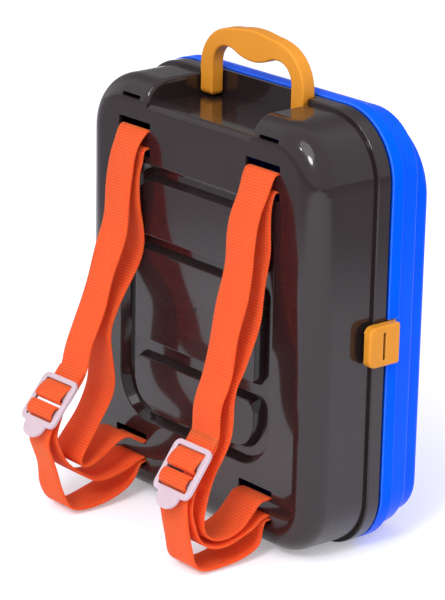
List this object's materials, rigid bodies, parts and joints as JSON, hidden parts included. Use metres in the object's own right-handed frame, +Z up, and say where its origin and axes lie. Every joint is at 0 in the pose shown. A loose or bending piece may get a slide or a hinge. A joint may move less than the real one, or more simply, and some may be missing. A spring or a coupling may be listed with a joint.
{
  "type": "toy tool case",
  "caption": "Child's hard-shell tool case worn as a backpack, with a side-hinged lid, latch, fold-down carrying handle and buckled webbing straps.",
  "frame": {"origin": "middle of the underside of the back shell's rim band, where the case stands", "axes": "+Z up, +Y towards the shoulder straps, +X towards the hinge"},
  "size_m": [0.2185, 0.1639, 0.2802],
  "materials": {
    "shell_plastic": "glossy moulded",
    "lid_plastic": "glossy moulded",
    "fitting_plastic": "satin moulded",
    "webbing": "ribbed woven",
    "buckle_plastic": "satin moulded",
    "pin_steel": "drawn wire"
  },
  "bodies": {
    "shell": {"back_shell": "shell_plastic", "hinge_pin_lower": "pin_steel", "hinge_pin_upper": "pin_steel", "strap_latch_side": "webbing", "strap_hinge_side": "webbing", "buckle_latch_side": "buckle_plastic", "buckle_hinge_side": "buckle_plastic"},
    "lid": {"lid_shell": "lid_plastic", "latch_pin": "pin_steel"},
    "latch": {"latch": "fitting_plastic"},
    "handle": {"handle": "fitting_plastic"}
  },
  "joints": [
    {"name": "lid_hinge", "type": "hinge", "parent": "shell", "child": "lid", "pos_m": [0.1068, -0.005, 0.125], "axis": [0, 0, 1], "range_deg": [0, 175]},
    {"name": "latch_pivot", "type": "hinge", "parent": "lid", "child": "latch", "pos_m": [-0.1015, -0.0096, 0.1254], "axis": [0, 0, 1], "range_deg": [0, 80]},
    {"name": "handle_pivot", "type": "hinge", "parent": "shell", "child": "handle", "pos_m": [0, 0.0035, 0.2409], "axis": [-1, 0, 0], "range_deg": [0, 90]}
  ]
}
